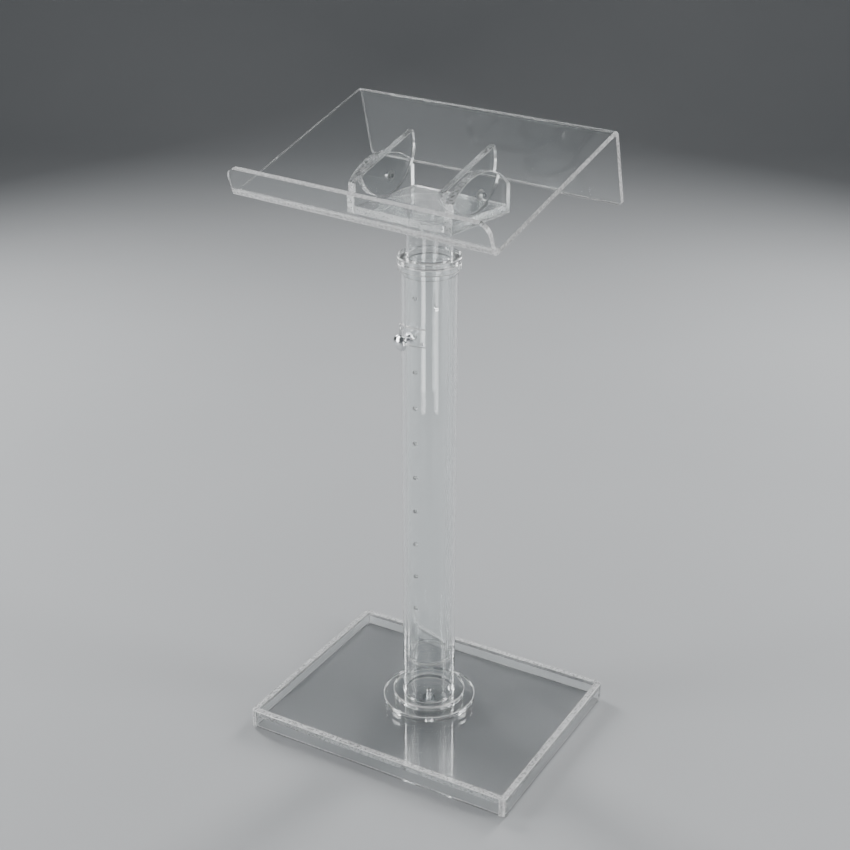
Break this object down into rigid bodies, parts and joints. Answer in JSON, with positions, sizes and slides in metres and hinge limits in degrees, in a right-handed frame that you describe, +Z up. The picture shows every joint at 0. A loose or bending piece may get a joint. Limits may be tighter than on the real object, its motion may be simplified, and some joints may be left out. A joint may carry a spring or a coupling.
{
  "type": "presentation lectern",
  "caption": "Free-standing clear acrylic lectern: boxed floor base, telescopic tube column with a pull-pin height latch, and a bent reading board that tilts on two pivots.",
  "frame": {"origin": "on the floor, at the centre of the rectangular base, on the axis that the column turns about", "axes": "+Z up; -Y towards the reader, square to the long front wall of the base; +X to the reader's right when facing +Y"},
  "size_m": [0.5317, 0.4173, 1.061],
  "materials": {
    "clear_acrylic": "polished clear acrylic",
    "clear_bumper": "clear soft bumper",
    "chrome": "bright plated",
    "steel": "turned",
    "nylon": "natural nylon"
  },
  "bodies": {
    "base": {"base_plate": "clear_acrylic", "base_front_wall": "clear_acrylic", "base_back_wall": "clear_acrylic", "base_left_wall": "clear_acrylic", "base_right_wall": "clear_acrylic", "base_feet": "clear_bumper"},
    "column": {"column_flange": "clear_acrylic", "flange_ring": "clear_acrylic", "base_bolt": "chrome", "base_washer": "steel", "outer_tube": "clear_acrylic", "collar_ring": "clear_acrylic", "collar_cap": "clear_acrylic", "collar_bush": "clear_acrylic", "latch_pad": "clear_acrylic", "pad_screws": "chrome", "plunger_barrel": "chrome", "latch_nut": "chrome", "plunger_spring": "steel", "grub_screw": "chrome"},
    "plunger": {"plunger_pin": "steel", "plunger_knob": "chrome"},
    "mast": {"inner_tube": "clear_acrylic", "mast_foot_ring": "clear_acrylic", "head_flange": "clear_acrylic", "head_plate": "clear_acrylic", "left_lug": "clear_acrylic", "right_lug": "clear_acrylic", "left_pivot_barrel": "chrome", "right_pivot_barrel": "chrome", "left_pivot_washer": "nylon", "right_pivot_washer": "nylon"},
    "desk": {"reading_board": "clear_acrylic", "left_cheek": "clear_acrylic", "right_cheek": "clear_acrylic", "left_pivot_screw": "chrome", "right_pivot_screw": "chrome"}
  },
  "joints": [
    {"name": "column_swivel", "type": "hinge", "parent": "base", "child": "column", "pos_m": [0, 0, 0.037], "axis": [0, 0, 1], "continuous": true},
    {"name": "plunger_slide", "type": "slide", "parent": "column", "child": "plunger", "axis": [0.1392, 0.9903, 0], "range_m": [0, 0.005]},
    {"name": "mast_slide", "type": "slide", "parent": "column", "child": "mast", "axis": [0, 0, 1], "range_m": [-0.062, 0.496]},
    {"name": "desk_tilt", "type": "hinge", "parent": "mast", "child": "desk", "pos_m": [0.0007, 0.00495, 0.963], "axis": [0.9903, -0.1392, 0], "range_deg": [-20, 2.5]}
  ]
}
